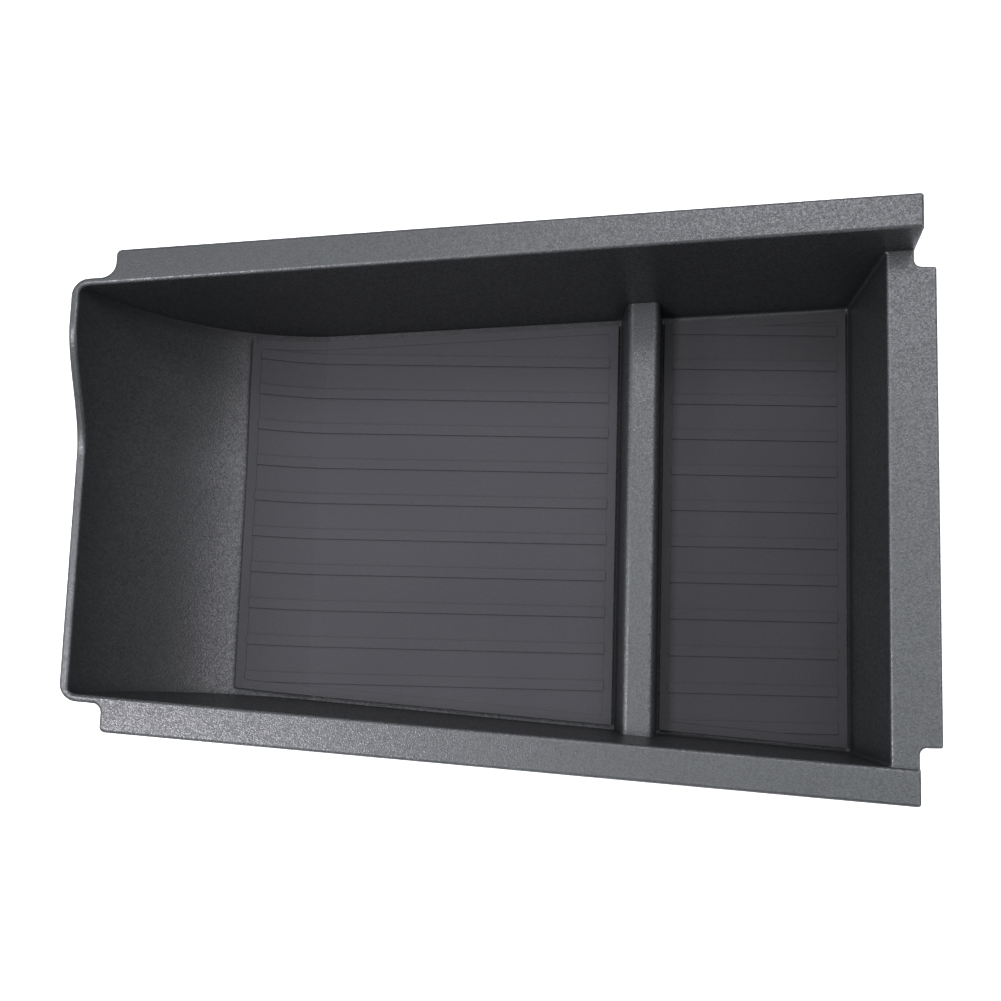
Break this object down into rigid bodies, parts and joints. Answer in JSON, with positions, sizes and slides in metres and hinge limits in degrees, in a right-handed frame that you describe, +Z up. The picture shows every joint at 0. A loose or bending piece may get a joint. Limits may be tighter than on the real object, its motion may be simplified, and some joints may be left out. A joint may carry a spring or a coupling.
{
  "type": "center console organizer tray",
  "caption": "Drop-in console organizer tray: tapered tub with side flanges, an end ledge, a low divider, a curved ramp up to an S-shaped lip, and ribbed mats on its floor.",
  "frame": {"origin": "on the resting plane, under the middle of the overall length and width", "axes": "+X from the curved lip to the end ledge, +Y towards the higher long side, +Z up"},
  "size_m": [0.2806, 0.1924, 0.072],
  "materials": {
    "shell_plastic": "fine pebble grain",
    "mat_rubber": "matte"
  },
  "bodies": {
    "root": {"tray_shell": "shell_plastic", "main_mat": "mat_rubber", "small_mat": "mat_rubber"}
  },
  "joints": []
}
